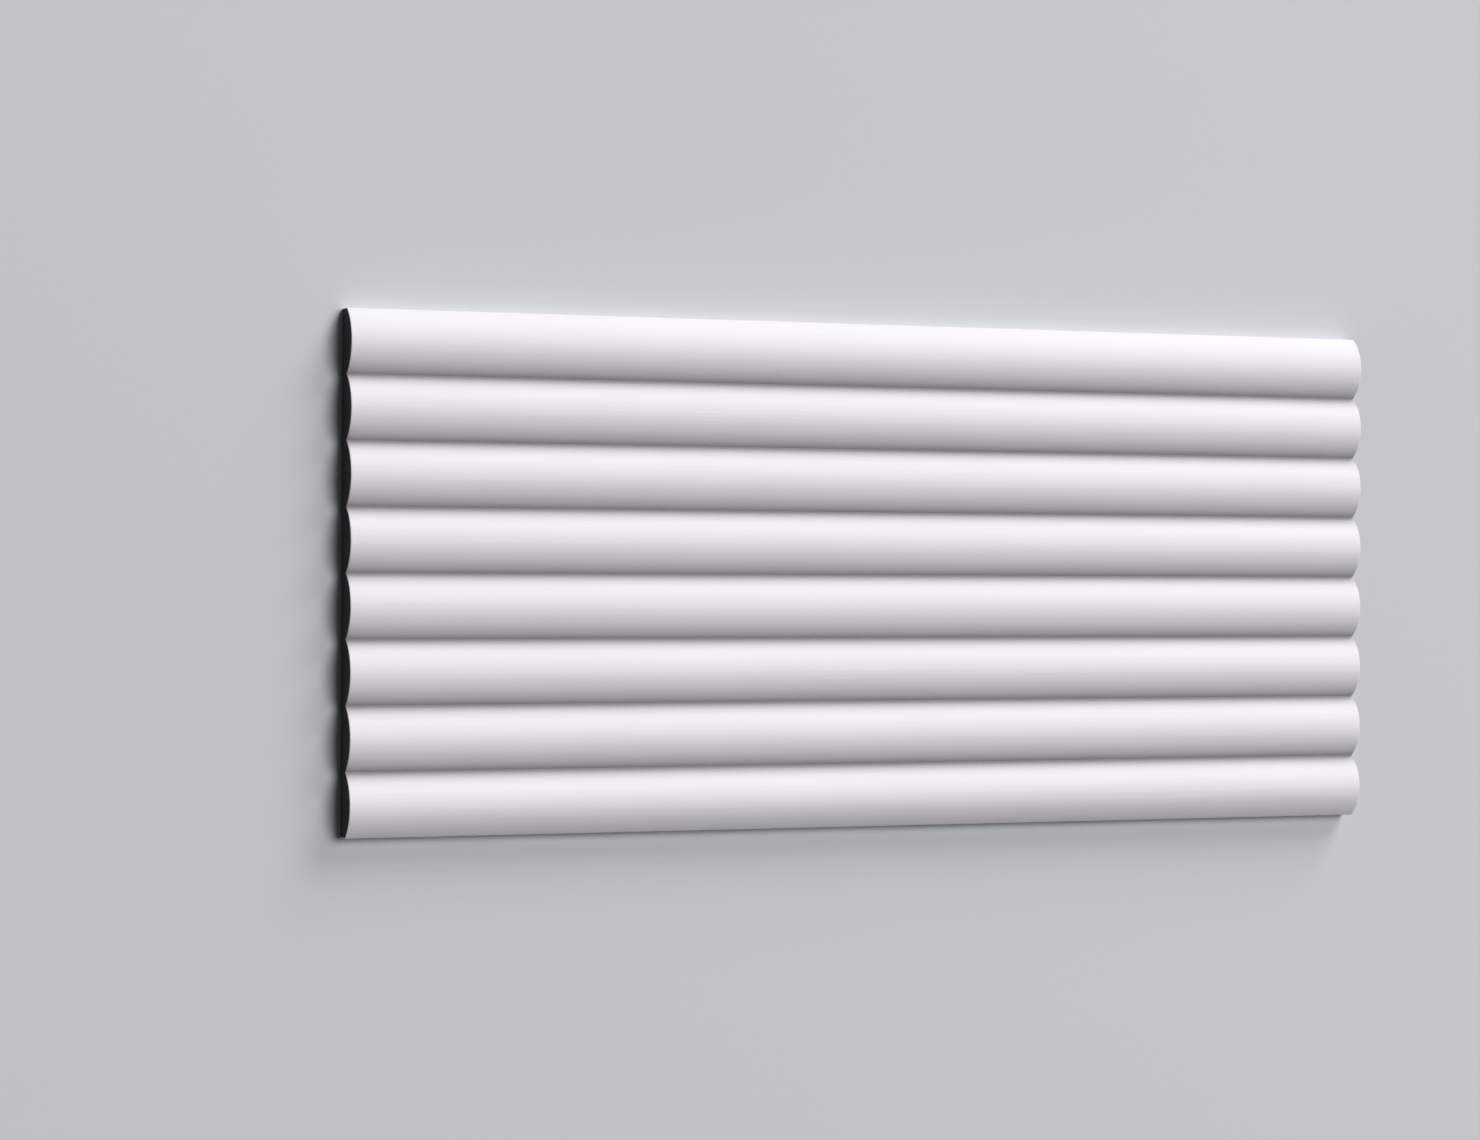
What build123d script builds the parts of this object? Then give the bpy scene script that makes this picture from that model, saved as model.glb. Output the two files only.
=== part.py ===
"""Reeded wall panel: one length of moulded panel with round reeds along its front and a flat back."""

import os

from build123d import *

# Length along X, from one square-cut end to the other
panel_length = 550.0

# Reeds, side by side across Y: round ridges that meet in sharp grooves
reed_count = 8
reed_pitch = 31.25  # from groove to groove
reed_height = 8.0  # from the groove line up to the crest
groove_root_radius = 0.3  # small round at the bottom of each groove

# Solid web behind the reeds, from the flat back up to the groove line
base_thickness = 8.0

# Broken edge around the face of each cut end
end_arris = 0.4

panel_width = reed_count * reed_pitch
half_width = panel_width / 2

with BuildPart() as panel:
    # Section across the panel: a row of arcs from one long edge to the other, closed by the flat back.
    # The outer reeds start at the very edges, so the side faces are only as deep as the web.
    with BuildSketch(Plane.YZ) as section:
        with BuildLine():
            for reed in range(reed_count):
                start = reed * reed_pitch - half_width
                SagittaArc((start, base_thickness), (start + reed_pitch, base_thickness), reed_height)
            Polyline(
                (half_width, base_thickness),
                (half_width, 0),
                (-half_width, 0),
                (-half_width, base_thickness),
            )
        make_face()
        groove_line = section.vertices().group_by(Axis.Y)[-1].sort_by(Axis.X)
        fillet(groove_line[1:-1], groove_root_radius)

    extrude(amount=panel_length / 2, both=True)
    cut_ends = panel.faces().filter_by(Axis.X)
    chamfer(cut_ends.edges(), end_arris)

panel.part.label = "wall_panel"

os.makedirs("parts", exist_ok=True)
export_step(panel.part, "parts/wall_panel.step")
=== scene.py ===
"""Looks of the reeded wall panel: its reeded face, cut ends and back, on a pale floor in soft light."""

import logging
import math
from collections.abc import Mapping
from dataclasses import dataclass
from enum import Enum
from typing import Any

import bpy
from bpy.types import Material, Node, NodeSocket, NodeTree, Object, World
from mathutils import Euler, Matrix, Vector


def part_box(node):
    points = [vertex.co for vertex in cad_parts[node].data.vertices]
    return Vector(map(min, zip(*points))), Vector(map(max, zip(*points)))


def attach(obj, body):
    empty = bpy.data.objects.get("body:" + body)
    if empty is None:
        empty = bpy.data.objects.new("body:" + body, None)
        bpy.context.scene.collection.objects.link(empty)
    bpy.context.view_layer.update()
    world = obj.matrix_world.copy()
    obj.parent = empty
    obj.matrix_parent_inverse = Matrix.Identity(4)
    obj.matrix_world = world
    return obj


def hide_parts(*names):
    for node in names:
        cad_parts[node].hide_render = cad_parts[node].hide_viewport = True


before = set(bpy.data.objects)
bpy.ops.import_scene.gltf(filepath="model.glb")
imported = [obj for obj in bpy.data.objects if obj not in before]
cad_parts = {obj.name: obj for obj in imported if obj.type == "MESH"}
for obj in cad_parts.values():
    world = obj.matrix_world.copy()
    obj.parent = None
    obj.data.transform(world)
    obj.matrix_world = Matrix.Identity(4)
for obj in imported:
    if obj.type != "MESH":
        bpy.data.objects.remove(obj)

log = logging.getLogger("reeded_wall_panel")

Colour = tuple[float, float, float]  # linear red, green and blue
Triple = tuple[float, float, float]  # X, Y and Z
Feed = NodeSocket | float | tuple[float, ...]

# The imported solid's facets cut just inside its crests, so its sizes are taken to a tenth of a millimetre
SIZE_DECIMALS = 4

# Points of a mesh that are closer than this, in metres, become one
SEAM_GAP = 0.00001

# How squarely a face has to look along an axis to count as a cut end or as the back
SQUARE_ON = 0.999

# A Wave texture at a scale of 1 draws about this many bands to the metre
BANDS_AT_SCALE_ONE = 3.0


class PanelSide(Enum):
    """The kinds of surface on the panel, each with a finish of its own."""

    FACE = "face"
    CUT_END = "cut_end"
    BACK = "back"


class NodeSheet:
    """A node tree while it is drawn up: adds nodes, wires their sockets and sets plain values.

    A Mix node has inputs of its own for each kind of value: 2 and 3 for numbers, 6 and 7 for colours.
    """

    def __init__(self, tree: NodeTree) -> None:
        """Keep the tree that the nodes go into."""
        self.tree = tree

    def feed(self, socket: NodeSocket, value: Feed) -> None:
        """Give one input socket its value.

        Args:
            socket: the input that takes the value.
            value: another node's output, which is wired, or a plain value, which is set.
        """
        if isinstance(value, NodeSocket):
            self.tree.links.new(value, socket)
        else:
            socket.default_value = value

    def add(self, kind: str, inputs: Mapping[str | int, Feed] | None = None, **settings: Any) -> Node:
        """Add a node.

        Args:
            kind: Blender's name for the node's type.
            inputs: what goes into its inputs, by name or by number.
            **settings: the node's own options.

        Returns:
            The new node.
        """
        node = self.tree.nodes.new(kind)
        for name, value in settings.items():
            setattr(node, name, value)
        for name, value in (inputs or {}).items():
            self.feed(node.inputs[name], value)
        return node

    def group(self, tree: NodeTree, inputs: Mapping[str, Feed]) -> NodeSocket:
        """Place a shader group with some of its inputs set, and return what it puts out."""
        return self.add("ShaderNodeGroup", inputs, node_tree=tree).outputs[0]

    def maths(self, operation: str, *terms: Feed) -> NodeSocket:
        """Add a Math node for an operation on the terms in order, and return its result."""
        return self.add("ShaderNodeMath", dict(enumerate(terms)), operation=operation).outputs[0]

    def split(self, vector: NodeSocket) -> tuple[NodeSocket, NodeSocket, NodeSocket]:
        """Take a vector apart, and return its X, Y and Z."""
        x, y, z = self.add("ShaderNodeSeparateXYZ", {0: vector}).outputs
        return x, y, z

    def join(self, x: Feed = 0.0, y: Feed = 0.0, z: Feed = 0.0) -> NodeSocket:
        """Put a vector together from its X, Y and Z, and return it."""
        return self.add("ShaderNodeCombineXYZ", {0: x, 1: y, 2: z}).outputs[0]

    def span(self, mask: Feed, low: float, high: float) -> NodeSocket:
        """Spread a mask from 0 to 1 over the range from low to high, and return the result."""
        return self.add("ShaderNodeMapRange", {"Value": mask, "To Min": low, "To Max": high}).outputs[0]

    def mix(self, share: Feed, first: Feed, second: Feed) -> NodeSocket:
        """Mix two numbers, with a share of the second from 0 to 1, and return the mixture."""
        return self.add("ShaderNodeMix", {0: share, 2: first, 3: second}, data_type="FLOAT").outputs[0]

    def blend(self, share: Feed, first: Colour | NodeSocket, second: Colour) -> NodeSocket:
        """Blend two colours.

        Args:
            share: how much of the second colour there is, from 0 to 1.
            first: a colour, or the colour that another node puts out.
            second: a colour.

        Returns:
            The blended colour.
        """
        start = first if isinstance(first, NodeSocket) else (*first, 1.0)
        inputs = {0: share, 6: start, 7: (*second, 1.0)}
        return self.add("ShaderNodeMix", inputs, data_type="RGBA").outputs[2]


@dataclass
class EffectGroups:
    """Shader node groups that more than one finish uses, each built once. Details in octaves of noise."""

    line_detail: float = 3.0
    grain_detail: float = 4.0
    patches_per_metre: float = 14.0
    patch_detail: float = 2.0

    def __post_init__(self) -> None:
        """Build the groups."""
        self.drawn_lines = self._drawn_lines()
        self.skin_grain = self._skin_grain()

    @staticmethod
    def _start(name: str, inputs: Mapping[str, float], output: str) -> tuple[NodeSheet, Node, Node]:
        """Start a shader group with a vector, some numbers in and one number out.

        Args:
            name: the group's name.
            inputs: the number inputs with their usual values.
            output: the name of the number that it puts out.

        Returns:
            The group's sheet, its input node and its output node.
        """
        tree = bpy.data.node_groups.new(name, "ShaderNodeTree")
        tree.interface.new_socket("Vector", in_out="INPUT", socket_type="NodeSocketVector")
        for label, usual in inputs.items():
            socket = tree.interface.new_socket(label, in_out="INPUT", socket_type="NodeSocketFloat")
            socket.default_value = usual
        tree.interface.new_socket(output, in_out="OUTPUT", socket_type="NodeSocketFloat")
        sheet = NodeSheet(tree)
        return sheet, sheet.add("NodeGroupInput"), sheet.add("NodeGroupOutput")

    def _drawn_lines(self) -> NodeTree:
        """Draw faint streaks that run along the panel, as a die leaves them.

        Returns:
            A group that puts out the streaks' height from 0 to 1.
        """
        usual = {"Lines Per Metre": 900.0, "Run": 400.0}
        sheet, given, result = self._start("drawn_lines", usual, "Height")
        x, y, z = sheet.split(given.outputs["Vector"])
        stretched = sheet.join(sheet.maths("DIVIDE", x, given.outputs["Run"]), y, z)
        streaks = sheet.add(
            "ShaderNodeTexNoise",
            {"Vector": stretched, "Scale": given.outputs["Lines Per Metre"], "Detail": self.line_detail},
        )
        sheet.feed(result.inputs["Height"], streaks.outputs[0])
        return sheet.tree

    def _skin_grain(self) -> NodeTree:
        """Draw an even fine grain with soft patches in it, as on a sprayed or foamed skin.

        Returns:
            A group that puts out the grain from 0 to 1.
        """
        usual = {"Grains Per Metre": 900.0, "Patches": 0.3}
        sheet, given, result = self._start("skin_grain", usual, "Grain")
        place = given.outputs["Vector"]
        fine = sheet.add(
            "ShaderNodeTexNoise",
            {"Vector": place, "Scale": given.outputs["Grains Per Metre"], "Detail": self.grain_detail},
        )
        broad = sheet.add(
            "ShaderNodeTexNoise",
            {"Vector": place, "Scale": self.patches_per_metre, "Detail": self.patch_detail},
        )
        grain = sheet.mix(given.outputs["Patches"], fine.outputs[0], broad.outputs[0])
        sheet.feed(result.inputs["Grain"], grain)
        return sheet.tree


@dataclass(frozen=True, kw_only=True)
class Finish:
    """What every finish has: a name, two close colours, a range of roughness, a fine relief and a sheen."""

    name: str
    colour: Colour
    shade: Colour
    smoothest: float
    roughest: float
    relief_height: float
    sheen: float

    def material(self, effects: EffectGroups) -> Material:
        """Make the finish's material.

        Args:
            effects: the shared shader groups.

        Returns:
            A procedural material that reads Object coordinates.
        """
        made = bpy.data.materials.new(self.name)
        made.use_nodes = True
        made.node_tree.nodes.clear()
        sheet = NodeSheet(made.node_tree)
        place = sheet.add("ShaderNodeTexCoord").outputs["Object"]
        pattern = self.pattern(sheet, effects, place)
        colour = sheet.blend(pattern, self.colour, self.shade)
        bump = sheet.add(
            "ShaderNodeBump", {"Strength": 1.0, "Distance": self.relief_height, "Height": pattern}
        )
        surface = sheet.add(
            "ShaderNodeBsdfPrincipled",
            {
                "Base Color": self.tone(sheet, place, colour),
                "Roughness": sheet.span(pattern, self.smoothest, self.roughest),
                "Specular IOR Level": self.sheen,
                "Normal": bump.outputs[0],
            },
        )
        sheet.add("ShaderNodeOutputMaterial", {"Surface": surface.outputs[0]})
        return made

    def pattern(self, sheet: NodeSheet, effects: EffectGroups, place: NodeSocket) -> NodeSocket:
        """Draw the finish's own pattern, and return it as a height from 0 to 1."""
        raise NotImplementedError

    def tone(self, sheet: NodeSheet, place: NodeSocket, colour: NodeSocket) -> NodeSocket:
        """Change the colour from place to place, and return it; most finishes leave it as it is."""
        return colour


@dataclass(frozen=True, kw_only=True)
class DrawnSkin(Finish):
    """A skin that came out of a die: fine lines along the panel, with an even grain over them."""

    lines_per_metre: float
    grain_share: float

    def pattern(self, sheet: NodeSheet, effects: EffectGroups, place: NodeSocket) -> NodeSocket:
        """Draw the die lines and mix the grain into them.

        Args:
            sheet: the material's nodes.
            effects: the shared shader groups.
            place: the point on the panel.

        Returns:
            The pattern as a height from 0 to 1.
        """
        lines = sheet.group(effects.drawn_lines, {"Vector": place, "Lines Per Metre": self.lines_per_metre})
        grain = sheet.group(effects.skin_grain, {"Vector": place})
        return sheet.mix(self.grain_share, lines, grain)


@dataclass(frozen=True, kw_only=True)
class WhitePrimer(DrawnSkin):
    """Smooth white primer on the reeds and the long edges, with painted shade that darkens it towards the
    bottom of each groove.
    """

    reed_pitch: float
    reed_count: int
    name: str = "white_primer"
    colour: Colour = (0.824, 0.793, 0.837)
    shade: Colour = (0.764, 0.735, 0.776)
    smoothest: float = 0.5
    roughest: float = 0.66
    relief_height: float = 0.0001
    sheen: float = 0.25
    lines_per_metre: float = 900.0
    grain_share: float = 0.5
    # Painted shade: the lilac grey that stands in for the shade at the bottom of each groove, and how far
    # from a groove it fades out, in metres
    painted_groove_shade: Colour = (0.37, 0.341, 0.377)
    painted_shade_reach: float = 0.0095

    def tone(self, sheet: NodeSheet, place: NodeSocket, colour: NodeSocket) -> NodeSocket:
        """Darken the primer with painted shade towards the bottom of each groove, but not at the panel's
        own long edges.

        Args:
            sheet: the material's nodes.
            place: the point on the panel.
            colour: the primer's colour away from the grooves.

        Returns:
            The primer's colour at each point, with the painted groove shade in it.
        """
        half_reed = 0.5
        _, across, _ = sheet.split(place)
        reeds_out = sheet.maths("DIVIDE", sheet.maths("ABSOLUTE", across), self.reed_pitch)
        reeds_in = sheet.maths("SUBTRACT", self.reed_count / 2, reeds_out)
        # The outer half of an outer reed counts as its crest, because a long edge is no groove
        inside = sheet.maths("MAXIMUM", reeds_in, half_reed)
        from_groove = sheet.maths("MULTIPLY", sheet.maths("PINGPONG", inside, half_reed), self.reed_pitch)
        # Painted shade: its share is whole at the bottom of a groove and falls to nothing at the reach
        shade_nearness = sheet.add(
            "ShaderNodeMapRange",
            {"Value": from_groove, "From Max": self.painted_shade_reach, "To Min": 1.0, "To Max": 0.0},
        ).outputs[0]
        return sheet.blend(sheet.maths("MULTIPLY", shade_nearness, shade_nearness), colour, self.painted_groove_shade)


@dataclass(frozen=True, kw_only=True)
class BareBack(DrawnSkin):
    """Bare back: the foamed skin itself, a little greyer and rougher, with wider and clearer die lines."""

    name: str = "bare_back"
    colour: Colour = (0.8, 0.785, 0.795)
    shade: Colour = (0.72, 0.705, 0.71)
    smoothest: float = 0.6
    roughest: float = 0.8
    relief_height: float = 0.0002
    sheen: float = 0.3
    lines_per_metre: float = 420.0
    grain_share: float = 0.35


@dataclass(frozen=True, kw_only=True)
class CharcoalEnd(Finish):
    """Matt near-black cut end, with open cells and leaning saw marks drawn across it. Lean in degrees."""

    name: str = "charcoal_cut_end"
    colour: Colour = (0.0145, 0.0137, 0.0152)
    shade: Colour = (0.078, 0.075, 0.081)
    smoothest: float = 0.7
    roughest: float = 0.92
    relief_height: float = 0.00012
    sheen: float = 0.1
    cells_per_metre: float = 1600.0
    cell_patches: float = 0.25
    saw_marks_per_metre: float = 640.0
    saw_lean: float = 24.0
    saw_wander: float = 5.0
    saw_detail: float = 3.0
    saw_share: float = 0.22

    def pattern(self, sheet: NodeSheet, effects: EffectGroups, place: NodeSocket) -> NodeSocket:
        """Draw open cells, and saw marks that lean a little across the section.

        Args:
            sheet: the material's nodes.
            effects: the shared shader groups.
            place: the point on the panel.

        Returns:
            The pattern as a height from 0 to 1.
        """
        grain = sheet.group(
            effects.skin_grain,
            {"Vector": place, "Grains Per Metre": self.cells_per_metre, "Patches": self.cell_patches},
        )
        cells = sheet.add("ShaderNodeTexVoronoi", {"Vector": place, "Scale": self.cells_per_metre})
        lean = (math.radians(self.saw_lean), 0.0, 0.0)
        leaning = sheet.add("ShaderNodeMapping", {"Vector": place, "Rotation": lean})
        marks = sheet.add(
            "ShaderNodeTexWave",
            {
                "Vector": leaning.outputs[0],
                "Scale": self.saw_marks_per_metre / BANDS_AT_SCALE_ONE,
                "Distortion": self.saw_wander,
                "Detail": self.saw_detail,
            },
            bands_direction="Y",
        )
        walls = sheet.maths("MULTIPLY", cells.outputs["Distance"], grain)
        return sheet.mix(self.saw_share, walls, marks.outputs["Fac"])


@dataclass
class ReededPanel:
    """The panel: one closed skin of round reeds, square edges, cut ends and a flat back.

    Sizes are in metres, and the angle from which an edge counts as sharp is in degrees.
    """

    length: float
    width: float
    depth: float
    reed_count: int = 8
    base_thickness: float = 0.008
    edge_break: float = 0.0004
    edge_steps: int = 3
    sharp_from: float = 30.0
    steps_round_a_reed: int = 40
    steps_along: int = 30
    node: str = "wall_panel"

    @property
    def reed_pitch(self) -> float:
        """The width of a reed from groove to groove."""
        return self.width / self.reed_count

    def finishes(self) -> dict[PanelSide, Finish]:
        """Choose the panel's finishes.

        Returns:
            The finish of each kind of surface.
        """
        return {
            PanelSide.FACE: WhitePrimer(reed_pitch=self.reed_pitch, reed_count=self.reed_count),
            PanelSide.CUT_END: CharcoalEnd(),
            PanelSide.BACK: BareBack(),
        }

    def shape_rule(self) -> NodeTree:
        """Draw up the rule that makes the panel from its sizes.

        Returns:
            A Geometry Nodes tree with a named input for each size and for the face's finish.
        """
        tree = bpy.data.node_groups.new("reeded_panel", "GeometryNodeTree")
        for name in ("Length", "Reed Pitch", "Reed Height", "Base Thickness"):
            tree.interface.new_socket(name, in_out="INPUT", socket_type="NodeSocketFloat")
        for name in ("Reed Count", "Steps Round", "Steps Along"):
            tree.interface.new_socket(name, in_out="INPUT", socket_type="NodeSocketInt")
        tree.interface.new_socket(PanelSide.FACE.value, in_out="INPUT", socket_type="NodeSocketMaterial")
        tree.interface.new_socket("Panel", in_out="OUTPUT", socket_type="NodeSocketGeometry")
        sheet = NodeSheet(tree)
        given = sheet.add("NodeGroupInput").outputs
        skin = self._close(sheet, self._front(sheet, given), given["Base Thickness"])
        smooth = sheet.add("GeometryNodeSetShadeSmooth", {"Geometry": skin})
        whole = sheet.add("GeometryNodeRealizeInstances", {"Geometry": smooth.outputs[0]})
        white = sheet.add(
            "GeometryNodeSetMaterial",
            {"Geometry": whole.outputs[0], "Material": given[PanelSide.FACE.value]},
        )
        sheet.add("NodeGroupOutput", {"Panel": white.outputs[0]})
        return tree

    @staticmethod
    def finish_rule() -> NodeTree:
        """Draw up the rule that gives the cut ends and the back their finishes, by the way the faces look.

        Returns:
            A Geometry Nodes tree with a named input for each of the two finishes.
        """
        tree = bpy.data.node_groups.new("panel_finishes", "GeometryNodeTree")
        tree.interface.new_socket("Panel", in_out="INPUT", socket_type="NodeSocketGeometry")
        for side in (PanelSide.CUT_END, PanelSide.BACK):
            tree.interface.new_socket(side.value, in_out="INPUT", socket_type="NodeSocketMaterial")
        tree.interface.new_socket("Panel", in_out="OUTPUT", socket_type="NodeSocketGeometry")
        sheet = NodeSheet(tree)
        given = sheet.add("NodeGroupInput").outputs
        along, _, up = sheet.split(sheet.add("GeometryNodeInputNormal").outputs[0])
        at_end = sheet.maths("GREATER_THAN", sheet.maths("ABSOLUTE", along), SQUARE_ON)
        behind = sheet.maths("LESS_THAN", up, -SQUARE_ON)
        dressed = sheet.add("GeometryNodeRealizeInstances", {"Geometry": given["Panel"]}).outputs[0]
        for side, where in ((PanelSide.CUT_END, at_end), (PanelSide.BACK, behind)):
            dressed = sheet.add(
                "GeometryNodeSetMaterial",
                {"Geometry": dressed, "Selection": where, "Material": given[side.value]},
            ).outputs[0]
        sheet.add("NodeGroupOutput", {"Panel": dressed})
        return tree

    @classmethod
    def _front(cls, sheet: NodeSheet, given: Mapping[str, NodeSocket]) -> NodeSocket:
        """Bend one strip into a reed and repeat it across the panel.

        Args:
            sheet: the tree's nodes.
            given: the tree's inputs.

        Returns:
            The reeded sheet, open underneath.
        """
        half = sheet.maths("MULTIPLY", given["Reed Pitch"], 0.5)
        squares = sheet.maths(
            "ADD",
            sheet.maths("MULTIPLY", half, half),
            sheet.maths("MULTIPLY", given["Reed Height"], given["Reed Height"]),
        )
        radius = sheet.maths("DIVIDE", squares, sheet.maths("MULTIPLY", given["Reed Height"], 2.0))
        reach = sheet.maths("ARCSINE", sheet.maths("DIVIDE", half, radius))
        # The flat strip runs from -1 to 1 across, which is a share of the angle from the crest to a groove
        strip = sheet.add(
            "GeometryNodeMeshGrid",
            {
                "Size X": given["Length"],
                "Size Y": 2.0,
                "Vertices X": sheet.maths("ADD", given["Steps Along"], 1.0),
                "Vertices Y": sheet.maths("ADD", given["Steps Round"], 1.0),
            },
        )
        along, share, _ = sheet.split(sheet.add("GeometryNodeInputPosition").outputs[0])
        turn = sheet.maths("MULTIPLY", share, reach)
        drop = sheet.maths("MULTIPLY", radius, sheet.maths("SUBTRACT", sheet.maths("COSINE", turn), 1.0))
        crest = sheet.maths("ADD", given["Base Thickness"], given["Reed Height"])
        bent = sheet.join(
            along,
            sheet.maths("MULTIPLY", radius, sheet.maths("SINE", turn)),
            sheet.maths("ADD", crest, drop),
        )
        reed = sheet.add("GeometryNodeSetPosition", {"Geometry": strip.outputs[0], "Position": bent})
        gaps = sheet.maths("SUBTRACT", given["Reed Count"], 1.0)
        first = sheet.maths("MULTIPLY", sheet.maths("MULTIPLY", gaps, half), -1.0)
        row = sheet.add(
            "GeometryNodeMeshLine",
            {
                "Count": given["Reed Count"],
                "Start Location": sheet.join(y=first),
                "Offset": sheet.join(y=given["Reed Pitch"]),
            },
        )
        reeds = sheet.add(
            "GeometryNodeInstanceOnPoints", {"Points": row.outputs[0], "Instance": reed.outputs[0]}
        )
        loose = sheet.add("GeometryNodeRealizeInstances", {"Geometry": reeds.outputs[0]})
        return cls._weld(sheet, loose.outputs[0])

    @classmethod
    def _close(cls, sheet: NodeSheet, front: NodeSocket, thickness: NodeSocket) -> NodeSocket:
        """Close the reeded sheet with straight sides, cut ends and a flat back.

        Args:
            sheet: the tree's nodes.
            front: the reeded sheet.
            thickness: the depth of the long edges.

        Returns:
            One closed skin.
        """
        # An edge of the rim has one face beside it. A Compare node takes whole numbers at inputs 2 and 3
        faces_beside = sheet.add("GeometryNodeInputMeshEdgeNeighbors").outputs[0]
        rim = sheet.add("FunctionNodeCompare", {2: faces_beside, 3: 1}, data_type="INT", operation="EQUAL")
        walls = sheet.add(
            "GeometryNodeExtrudeMesh",
            {
                "Mesh": front,
                "Selection": rim.outputs[0],
                "Offset": sheet.join(z=-1.0),
                "Offset Scale": thickness,
            },
            mode="EDGES",
        )
        along, across, _ = sheet.split(sheet.add("GeometryNodeInputPosition").outputs[0])
        foot = sheet.join(along, across)
        standing = sheet.add(
            "GeometryNodeSetPosition",
            {"Geometry": walls.outputs["Mesh"], "Selection": walls.outputs["Top"], "Position": foot},
        )
        flat = sheet.add("GeometryNodeSetPosition", {"Geometry": front, "Position": foot})
        back = sheet.add("GeometryNodeFlipFaces", {"Mesh": flat.outputs[0]})
        joined = sheet.add("GeometryNodeJoinGeometry")
        for part in (standing, back):
            sheet.feed(joined.inputs[0], part.outputs[0])
        return cls._weld(sheet, joined.outputs[0])

    @staticmethod
    def _weld(sheet: NodeSheet, mesh: NodeSocket) -> NodeSocket:
        """Merge the points of a mesh that meet, and return it."""
        inputs = {"Geometry": mesh, "Distance": SEAM_GAP}
        return sheet.add("GeometryNodeMergeByDistance", inputs).outputs[0]

    def build(self, effects: EffectGroups) -> Object:
        """Make the panel as a plain mesh.

        Args:
            effects: the shared shader groups.

        Returns:
            The panel's object, at the origin.
        """
        values: dict[str, Any] = {
            "Length": self.length,
            "Reed Pitch": self.reed_pitch,
            "Reed Height": self.depth - self.base_thickness,
            "Base Thickness": self.base_thickness,
            "Reed Count": self.reed_count,
            "Steps Round": self.steps_round_a_reed,
            "Steps Along": self.steps_along,
        }
        for side, finish in self.finishes().items():
            values[side.value] = finish.material(effects)
        panel = bpy.data.objects.new("reeded_panel", bpy.data.meshes.new("reeded_panel_rule"))
        bpy.context.scene.collection.objects.link(panel)
        self._follow(panel, self.shape_rule(), values)
        self._break_edges(panel)
        self._follow(panel, self.finish_rule(), values)
        drawn = panel.evaluated_get(bpy.context.evaluated_depsgraph_get())
        mesh = bpy.data.meshes.new_from_object(drawn)
        mesh.name = "reeded_panel"
        # The first slot comes from the rule's bare grid, and no face uses it
        mesh.materials.pop(index=0)
        panel.modifiers.clear()
        panel.data = mesh
        return panel

    @staticmethod
    def _follow(panel: Object, rule: NodeTree, values: Mapping[str, Any]) -> None:
        """Put a rule on the panel with its sizes and finishes set.

        Args:
            panel: the panel's object.
            rule: a Geometry Nodes tree.
            values: the sizes and materials by the names of the rule's inputs.
        """
        modifier = panel.modifiers.new(rule.name, "NODES")
        modifier.node_group = rule
        for item in rule.interface.items_tree:
            if item.in_out == "INPUT" and item.name in values:
                modifier[item.identifier] = values[item.name]

    def _break_edges(self, panel: Object) -> None:
        """Round every sharp edge and groove a little, as primer and handling leave them.

        Args:
            panel: the panel's object.
        """
        bevel = panel.modifiers.new("edge_break", "BEVEL")
        bevel.width = self.edge_break
        bevel.segments = self.edge_steps
        bevel.limit_method = "ANGLE"
        bevel.angle_limit = math.radians(self.sharp_from)
        bevel.harden_normals = True

    def dress(self, panel: Object) -> None:
        """Set the panel in the frame in place of its solid.

        Args:
            panel: the panel's object.
        """
        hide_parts(self.node)
        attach(panel, "root")


@dataclass(frozen=True)
class Softbox:
    """A round soft lamp that faces the panel. Metres and watts."""

    name: str
    direction: Triple
    distance: float
    diameter: float
    watts: float

    def hang(self) -> Object:
        """Hang the lamp in its place.

        Returns:
            The lamp's object.
        """
        light = bpy.data.lights.new(self.name, "AREA")
        light.shape = "DISK"
        light.size = self.diameter
        light.energy = self.watts
        lamp = bpy.data.objects.new(self.name, light)
        towards = Vector(self.direction).normalized()
        lamp.location = towards * self.distance
        lamp.rotation_euler = towards.to_track_quat("Z", "Y").to_euler()
        lamp.visible_camera = False
        bpy.context.scene.collection.objects.link(lamp)
        return lamp


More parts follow.
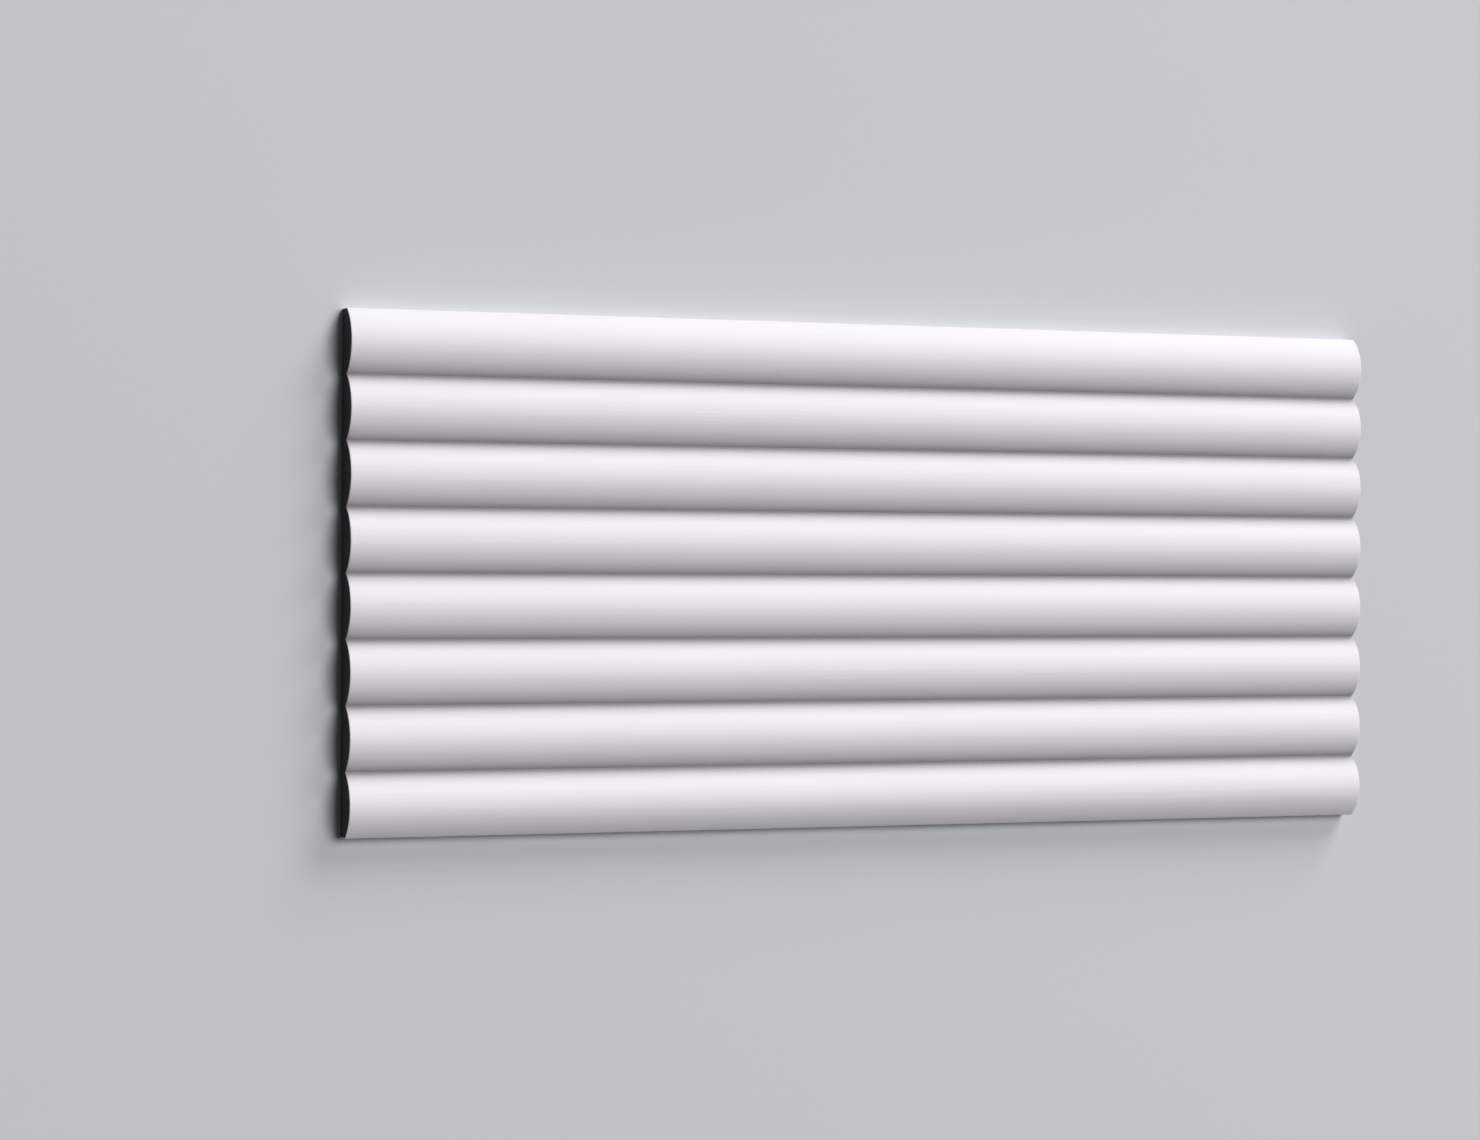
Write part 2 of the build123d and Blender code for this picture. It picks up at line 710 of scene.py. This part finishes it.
@dataclass
class Studio:
    """A pale floor under a low key lamp, an overhead lamp and a faint even sky. Sizes in metres."""

    floor_size: float = 6.0
    floor_drop: float = 0.0002
    floor_colour: Colour = (0.6, 0.613, 0.635)
    floor_roughness: float = 0.9
    floor_sheen: float = 0.1
    sky_colour: Colour = (1.0, 1.0, 1.0)
    sky_level: float = 0.05
    backdrop_level: float = 0.85
    lamps: tuple[Softbox, ...] = (
        Softbox("key", direction=(0.55, 0.9, 0.44), distance=12.0, diameter=6.6, watts=1035.0),
        Softbox("overhead", direction=(0.33, 0.217, 0.976), distance=12.0, diameter=6.6, watts=980.0),
    )

    def floor(self) -> Object:
        """Lay the floor just under the panel.

        Returns:
            The floor, marked as stage.
        """
        half = self.floor_size / 2
        mesh = bpy.data.meshes.new("floor")
        plan = [(-half, -half), (half, -half), (half, half), (-half, half)]
        mesh.from_pydata([(x, y, -self.floor_drop) for x, y in plan], [], [(0, 1, 2, 3)])
        mesh.materials.append(self._floor_paint())
        floor = bpy.data.objects.new("floor", mesh)
        bpy.context.scene.collection.objects.link(floor)
        return floor

    def _floor_paint(self) -> Material:
        """Mix the floor's plain matt paint.

        Returns:
            The floor's material.
        """
        paint = bpy.data.materials.new("pale_floor")
        paint.use_nodes = True
        surface = paint.node_tree.nodes["Principled BSDF"]
        surface.inputs["Base Color"].default_value = (*self.floor_colour, 1.0)
        surface.inputs["Roughness"].default_value = self.floor_roughness
        surface.inputs["Specular IOR Level"].default_value = self.floor_sheen
        return paint

    def sky(self) -> World:
        """Fill the room with even light, and show the camera and reflections a pale backdrop.

        Returns:
            The world.
        """
        world = bpy.data.worlds.new("soft_sky")
        world.use_nodes = True
        world.node_tree.nodes.clear()
        sheet = NodeSheet(world.node_tree)
        rays = sheet.add("ShaderNodeLightPath").outputs
        mirrored = sheet.maths("MAXIMUM", rays["Is Glossy Ray"], rays["Is Transmission Ray"])
        seen = sheet.maths("MAXIMUM", rays["Is Camera Ray"], mirrored)
        light = sheet.add(
            "ShaderNodeBackground", {"Color": (*self.sky_colour, 1.0), "Strength": self.sky_level}
        )
        backdrop = sheet.add(
            "ShaderNodeBackground", {"Color": (*self.floor_colour, 1.0), "Strength": self.backdrop_level}
        )
        either = sheet.add("ShaderNodeMixShader", {0: seen, 1: light.outputs[0], 2: backdrop.outputs[0]})
        sheet.add("ShaderNodeOutputWorld", {"Surface": either.outputs[0]})
        bpy.context.scene.world = world
        return world


@dataclass(frozen=True)
class Viewpoint:
    """The camera, looking down on the panel from beyond its near end.

    Its place is in metres, its turn in degrees, and its lens and sensor are in millimetres.
    """

    location: Triple = (-0.78398, -0.00025, 1.71487)
    turn: Triple = (-0.0138, -22.5793, 0.2442)
    lens: float = 91.597
    sensor: float = 36.0

    def set_up(self) -> Object:
        """Make the camera and give it to the scene.

        Returns:
            The camera.
        """
        lens = bpy.data.cameras.new("viewpoint")
        lens.lens = self.lens
        lens.sensor_fit = "HORIZONTAL"
        lens.sensor_width = self.sensor
        camera = bpy.data.objects.new("viewpoint", lens)
        camera.location = self.location
        camera.rotation_euler = Euler([math.radians(angle) for angle in self.turn])
        bpy.context.scene.collection.objects.link(camera)
        bpy.context.scene.camera = camera
        return camera


def main() -> None:
    """Build the panel and its studio in order."""
    logging.basicConfig(level=logging.INFO, format="%(name)s: %(message)s")
    bpy.context.scene.view_settings.view_transform = "Standard"
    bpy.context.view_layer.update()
    Viewpoint().set_up()
    low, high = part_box("wall_panel")
    length, width, depth = (round(side, SIZE_DECIMALS) for side in Vector(high) - Vector(low))
    panel = ReededPanel(length=length, width=width, depth=depth)
    made = panel.build(EffectGroups())
    panel.dress(made)
    log.info("%s: %d faces, %s", made.name, len(made.data.polygons), [m.name for m in made.data.materials])
    studio = Studio()
    for piece in (studio.floor(), *[lamp.hang() for lamp in studio.lamps]):
        log.info("%s in place", piece.name)
    studio.sky()


if __name__ == "__main__":
    main()
